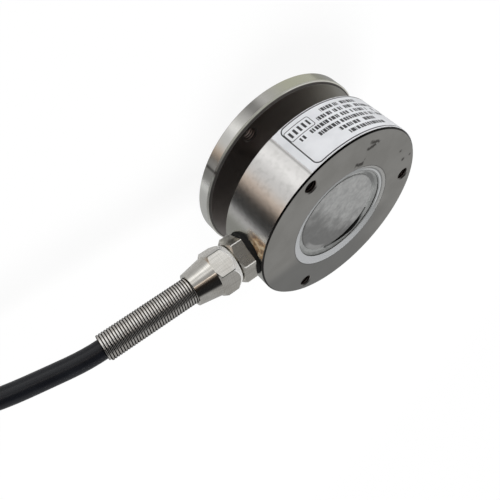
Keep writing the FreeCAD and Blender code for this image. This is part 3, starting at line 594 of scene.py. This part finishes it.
def label_film():
    """Silver film with plain black print."""
    film = Finish("label_film")
    cloud = film.noise(0.2)
    grain = film.noise(3.0)
    silver = cloud.rise(0.3, 0.7).blend((0.80, 0.81, 0.835), (0.72, 0.73, 0.755))
    return film.done(
        Base_Color=label_ink(film).blend(silver, (0.03, 0.03, 0.032)),
        Roughness=0.28 + grain * 0.12,
        Normal=film.bump(cloud, 0.05, 0.3),
    )


def gland_nickel(name, rough, turn_deg, corner, light, dull):
    """Nickel on turned brass, a little worn, with painted light and shade along the hexagon's corners, in
    the colour given as corner.
    """
    nickel = Finish(name)
    lines = nickel.noise(5.0, vector=nickel.spot(nickel.x, 0.0, 0.0))
    cloud = nickel.noise(0.3, 4.0)
    strokes = nickel.noise(2.2, vector=nickel.spot(nickel.x * 0.08, nickel.y, nickel.z))
    height = nickel.z - GLAND_MM
    away = (nickel.y * nickel.y + height * height) ** 0.5
    sides = height.maths("ARCTAN2", nickel.y) * (HEX_SIDES / (2.0 * math.pi)) - turn_deg * HEX_SIDES / 360.0
    from_corner = abs((sides + 0.5).maths("FRACT") - 0.5)
    ridge = (1.0 - from_corner.rise(0.012, 0.03)) * away.above(HEX_CORNER_MM - 0.4, 0.05)
    cone = (nickel.x - NUT_BACK_MM) * NUT_TAPER_SLOPE + NUT_FACE_MM
    taper = 1.0 - abs(away - cone).rise(0.04, 0.10)
    taper = taper * nickel.x.band(NUT_BACK_MM - 0.05, NUT_BACK_MM + NUT_TAPER_MM + 0.15, 0.05)
    under = height.rise(-2.0, -4.0)
    tone = cloud.rise(0.3, 0.7).blend(light, dull)
    tone = (lines.rise(0.45, 0.6) * 0.25).blend(tone, (0.50, 0.48, 0.44))
    tone = (strokes.rise(0.48, 0.62) * 0.22).blend(tone, (0.46, 0.44, 0.40))
    tone = taper.blend(tone, (0.78, 0.775, 0.76))
    # Painted line along each corner: a highlight on the gland's body, shade on the nut
    tone = ridge.blend(tone, corner)
    return nickel.done(
        Base_Color=tone,
        Roughness=cloud * 0.10 + lines * 0.05 + taper * 0.25 + ridge * 0.3 + rough,
        Metallic=1.0 - (taper * 0.7).most(ridge * 0.8).most(under * 0.3),
        Normal=nickel.bump(lines + cloud, 0.02, 0.35),
    )


def spring_steel():
    """Drawn steel wire with a fine grain, a little brown tarnish, and painted shade in the grooves between
    the turns.
    """
    wire = Finish("spring_steel")
    cloud = wire.noise(0.4, 4.0)
    grain = wire.noise(4.0, 4.0)
    height = wire.z - GLAND_MM
    depth = SPRING_MM - (wire.y * wire.y + height * height) ** 0.5
    # Painted shade in the grooves between the turns
    groove = depth.rise(0.03, 0.15)
    tone = cloud.rise(0.35, 0.75).blend((0.96, 0.94, 0.90), (0.80, 0.76, 0.71))
    return wire.done(
        Base_Color=groove.blend(tone, (0.004, 0.004, 0.003)),
        Roughness=0.15 + grain * 0.12 + groove * 0.2,
        Metallic=1.0,
        Specular_Tint=grey(0.2),
        Normal=wire.bump(grain, 0.01, 0.3),
    )


def plain_metal(name, colour, rough, per_mm):
    """Small metal piece with an uneven sheen."""
    metal = Finish(name)
    grain = metal.noise(per_mm, 4.0)
    cloud = metal.noise(per_mm * 0.2)
    worn = [channel * 0.75 for channel in colour]
    return metal.done(
        Base_Color=cloud.rise(0.3, 0.75).blend(colour, worn),
        Roughness=grain * 0.16 + rough,
        Metallic=1.0,
        Normal=metal.bump(grain, 0.015, 0.4),
    )


def plain_plastic(name, colour, rough, per_mm):
    """Plastic, rubber or laminate with a fine grain."""
    plastic = Finish(name)
    grain = plastic.noise(per_mm, 4.0)
    cloud = plastic.noise(per_mm * 0.15)
    worn = [channel * 1.35 + 0.002 for channel in colour]
    return plastic.done(
        Base_Color=cloud.rise(0.3, 0.75).blend(colour, worn),
        Roughness=grain * 0.16 + rough,
        Normal=plastic.bump(grain, 0.02, 0.5),
    )


def core_skin(name, colour, bend_mm, level_mm):
    """Coloured core with its copper bare where the skin is stripped."""
    core = Finish(name)
    grain = core.noise(2.0, 4.0)
    from_centre = ((core.x - COIL_CENTRE_MM[0]) ** 2.0 + (core.y - COIL_CENTRE_MM[1]) ** 2.0) ** 0.5
    aside = from_centre - bend_mm
    height = core.z - level_mm
    skin = ((aside * aside + height * height) ** 0.5).above((CORE_BARE_MM + CORE_MM) / 2.0, 0.02)
    worn = [channel * 1.3 + 0.002 for channel in colour]
    return core.done(
        Base_Color=skin.blend((0.62, 0.34, 0.20), grain.rise(0.3, 0.7).blend(colour, worn)),
        Roughness=grain * 0.15 + 0.25,
        Metallic=1.0 - skin,
        Normal=core.bump(grain, 0.02, 0.4),
    )


def cable_jacket():
    """Black jacket with a soft sheen and a fine matt grain."""
    jacket = Finish("cable_jacket")
    grain = jacket.noise(2.2, 4.0)
    cloud = jacket.noise(0.12)
    return jacket.done(
        Base_Color=cloud.rise(0.3, 0.7).blend((0.006, 0.0065, 0.009), (0.010, 0.011, 0.014)),
        Roughness=0.20 + grain * 0.16,
        Specular_IOR_Level=0.4,
        Normal=jacket.bump(grain, 0.02, 0.25),
    )


def wear(node, material):
    """Puts a finish on a CAD node."""
    NODES[node].material_slots[0].material = material


def coil_points():
    """Control points of the put-away coil, whose layers run in and out in turn and climb at the turns."""
    swell = 1.0 / (0.75 + 0.25 * math.cos(2.0 * math.pi / COIL_STEPS))
    steps = round(COIL_LAYER_TURNS * COIL_LAYERS * COIL_STEPS)
    points = []
    for step in range(steps + 1):
        turn = step / COIL_STEPS
        layer = min(int(turn / COIL_LAYER_TURNS), COIL_LAYERS - 1)
        within = turn - layer * COIL_LAYER_TURNS
        inward = within if layer % 2 == 0 else COIL_LAYER_TURNS - within
        radius = (COIL_OUTER_MM - COIL_PITCH_MM * inward) * swell
        height = CABLE_MM
        for change in range(1, COIL_LAYERS):
            share = (turn - change * COIL_LAYER_TURNS) / COIL_CLIMB_TURNS + 0.5
            share = min(max(share, 0.0), 1.0)
            height += CABLE_MM * (1.0 - math.cos(math.pi * share))
        angle = math.pi / 2.0 - 2.0 * math.pi * turn
        points.append((
            COIL_CENTRE_MM[0] + radius * math.cos(angle),
            COIL_CENTRE_MM[1] + radius * math.sin(angle),
            height,
        ))
    return points


def make_cable(jacket):
    """The whole cable on one smooth line, from inside the gland to its end on the coil."""
    curve = bpy.data.curves.new("cable_line", "CURVE")
    curve.dimensions = "3D"
    curve.bevel_depth = CABLE_MM * MM
    curve.bevel_resolution = 5
    curve.resolution_u = 4
    curve.use_fill_caps = True
    points = list(ROUTE_MM) + coil_points()
    line = curve.splines.new("NURBS")
    line.points.add(len(points) - 1)
    for point, place in zip(line.points, points):
        point.co = (*[value * MM for value in place], 1.0)
    line.use_endpoint_u = True
    line.order_u = 3
    curve.materials.append(jacket)
    cable = bpy.data.objects.new("cable_line", curve)
    bpy.context.scene.collection.objects.link(cable)
    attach(cable, "root")
    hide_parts("cable", "cable_coil")


def make_floor():
    """Pale floor that keeps the shadow and fades to white further out."""
    bpy.ops.object.select_all(action="DESELECT")
    bpy.ops.mesh.primitive_plane_add(size=FLOOR_SIZE)
    floor = bpy.context.object
    floor.name = "studio_floor"
    material = bpy.data.materials.new("studio_floor")
    material.use_nodes = True
    tree = material.node_tree
    tree.nodes.clear()
    output = tree.nodes.new("ShaderNodeOutputMaterial")
    path = tree.nodes.new("ShaderNodeLightPath")
    start = tree.nodes.new("ShaderNodeTexCoord")
    place = Signal(tree, start.outputs["Object"])
    away = place.node("VectorMath", 1, {0: place}, operation="LENGTH").rise(*FLOOR_FADE)
    seen = Signal(tree, path.outputs["Is Camera Ray"])
    seen = seen.most(Signal(tree, path.outputs["Is Transmission Ray"]))
    mirrored = Signal(tree, path.outputs["Is Glossy Ray"])
    matt = seen.node("BsdfDiffuse", 0, {"Color": grey(0.86)})
    glow = seen.node("Emission", 0, {"Color": grey(1.0)})
    clear = seen.node("BsdfTransparent", 0, {"Color": grey(1.0)})
    lit = seen.node("MixShader", 0, {0: seen * (away * 0.1 + 0.9), 1: matt, 2: glow})
    feed(tree, output.inputs["Surface"], seen.node("MixShader", 0, {0: mirrored, 1: lit, 2: clear}))
    floor.data.materials.append(material)


def room_light(side, back, up, bearing, climb):
    """Brightness of the room that the metal mirrors in each direction, and the share of its upper part."""
    near = 1.0 - back.rise(-0.9, -0.5)
    overhead = climb.rise(31.0, 47.0) * (1.0 - climb.rise(92.0, 112.0))
    overhead = overhead * (1.0 - abs(side).rise(0.6, 1.0))
    screen = near * side.rise(-0.12, -0.28) * up.rise(0.0, 0.2)
    upper = 0.35 * (1.0 - overhead * 0.96) * (1.0 - screen * 0.8)
    upper = upper + climb.band(28.0, 31.0, 1.5) * near * side.rise(-0.2, -0.05) * 1.2
    upper = upper + bearing.band(-66.0, -46.0, 7.0) * (1.0 - up.rise(0.3, 0.5)) * 0.5
    lower = 0.66 + bearing.band(-64.0, -48.0, 7.0) * 0.36 - bearing.rise(22.0, 40.0) * 0.27
    lower = lower * (1.0 - bearing.band(-14.0, 21.0, 9.0) * 0.96)
    under = up.rise(-0.75, -0.60)
    lower = lower * under + (1.0 - under) * 0.44
    lower = lower + bearing.band(-104.0, -70.0, 9.0) * up.band(-0.54, -0.28, 0.10) * 0.45
    lower = lower + near * up.band(-0.12, 0.08, 0.08) * 0.15
    above = (up - near * 0.15).rise(-0.15, 0.1)
    return upper * above + lower * (1.0 - above), above


def make_world():
    """White where the camera looks past the floor, and a dim room in the metal's reflections."""
    world = bpy.data.worlds.new("studio")
    bpy.context.scene.world = world
    world.use_nodes = True
    tree = world.node_tree
    background = tree.nodes["Background"]
    path = tree.nodes.new("ShaderNodeLightPath")
    start = tree.nodes.new("ShaderNodeTexCoord")
    heading = Signal(tree, start.outputs["Generated"])
    side, back, up = [heading.node("SeparateXYZ", axis, {0: heading}) for axis in range(3)]
    bearing = back.maths("ARCTAN2", side) * (180.0 / math.pi)
    climb = up.maths("ARCTAN2", back * -1.0) * (180.0 / math.pi)
    room, above = room_light(side, back, up, bearing, climb)
    seen = Signal(tree, path.outputs["Is Camera Ray"])
    seen = seen.most(Signal(tree, path.outputs["Is Transmission Ray"]))
    mirrored = Signal(tree, path.outputs["Is Glossy Ray"])
    lit = (1.0 - mirrored) * 0.35 + mirrored * room
    feed(tree, background.inputs["Strength"], seen.most(lit))
    warm = bearing.band(-26.0, -6.0, 8.0) * (1.0 - above)
    warm = warm.most(climb.band(28.0, 62.0, 6.0) * (1.0 - abs(side).rise(0.15, 0.4))) * mirrored
    feed(tree, background.inputs["Color"], warm.blend(grey(1.0), (1.0, 0.82, 0.68)))


def make_lamp(name, place, size, power):
    """Soft square lamp aimed at the cell."""
    lamp = bpy.data.lights.new(name, "AREA")
    lamp.size = size
    lamp.energy = power
    item = bpy.data.objects.new(name, lamp)
    item.location = place
    item.visible_glossy = False
    item.rotation_euler = (-Vector(place)).to_track_quat("-Z", "Y").to_euler()
    bpy.context.scene.collection.objects.link(item)


def make_camera():
    """Camera at the photograph's viewing angle."""
    lens = bpy.data.cameras.new("photo_camera")
    lens.lens = LENS_MM
    lens.sensor_width = SENSOR_MM
    lens.clip_start = CAMERA_NEAR
    camera = bpy.data.objects.new("photo_camera", lens)
    camera.location = CAMERA_PLACE
    camera.rotation_euler = [math.radians(angle) for angle in CAMERA_TURN_DEG]
    bpy.context.scene.collection.objects.link(camera)
    bpy.context.scene.camera = camera


make_camera()
make_cable(cable_jacket())
wear("elastic_body", turned_nickel())
wear("cover_disc", cover_steel())
wear("sealing_bead", sealant())
wear("label", label_film())
# The gland's body: a rougher satin nickel than the nut, its tones a little darker as painted shade
wear("gland_body", gland_nickel(
    "satin_nickel",
    rough=0.20,
    turn_deg=2.6,
    # Corners painted light as highlights
    corner=(0.88, 0.87, 0.84),
    light=(0.82, 0.80, 0.74),
    dull=(0.70, 0.68, 0.62),
))
wear("gland_nut", gland_nickel(
    "bright_nickel",
    rough=0.06,
    turn_deg=13.4,
    # Corners painted dark as shade
    corner=(0.10, 0.10, 0.09),
    light=(0.90, 0.88, 0.83),
    dull=(0.80, 0.77, 0.71),
))
wear("relief_spring", spring_steel())
for node, name, colour, rough, per_mm in (
    ("strain_gauges", "gauge_foil", (0.50, 0.28, 0.08), 0.35, 2.0),
    ("terminal_board", "board_laminate", (0.04, 0.17, 0.08), 0.35, 2.0),
    ("trim_resistors", "resistor_body", (0.03, 0.03, 0.03), 0.35, 3.0),
    ("gland_washer", "washer_rubber", (0.003, 0.003, 0.003), 0.7, 2.0),
    ("gland_sleeve", "sleeve_rubber", (0.02, 0.02, 0.02), 0.5, 2.0),
    ("inner_cores", "inner_core_skin", (0.40, 0.05, 0.04), 0.3, 2.0),
    ("coil_tie", "tie_plastic", (0.02, 0.02, 0.021), 0.35, 1.5),
    ("end_sleeve", "shrink_sleeve", (0.015, 0.015, 0.015), 0.45, 1.5),
):
    wear(node, plain_plastic(name, colour, rough, per_mm))
for node, name, colour, rough, per_mm in (
    ("gauge_leads", "tinned_wire", (0.70, 0.69, 0.66), 0.25, 3.0),
    ("board_screw", "zinc_screw", (0.60, 0.58, 0.50), 0.2, 2.0),
    ("screen_tail", "screen_wire", (0.66, 0.60, 0.50), 0.3, 3.0),
):
    wear(node, plain_metal(name, colour, rough, per_mm))
for core, colour, bend_mm in (
    ("core_red", (0.45, 0.02, 0.02), CORE_NEAR_MM),
    ("core_black", (0.015, 0.015, 0.015), CORE_FAR_MM),
    ("core_green", (0.02, 0.22, 0.06), CORE_NEAR_MM),
    ("core_white", (0.60, 0.60, 0.58), CORE_FAR_MM),
):
    low, high = box_mm(core)
    wear(core, core_skin(core, colour, bend_mm, (low[2] + high[2]) / 2.0))
make_floor()
make_world()
make_lamp("key_lamp", place=(0.10, 0.45, 0.80), size=0.45, power=7.5)
make_lamp("fill_lamp", place=(-0.30, -0.80, 0.40), size=0.6, power=4.0)
bpy.context.scene.view_settings.view_transform = "Standard"
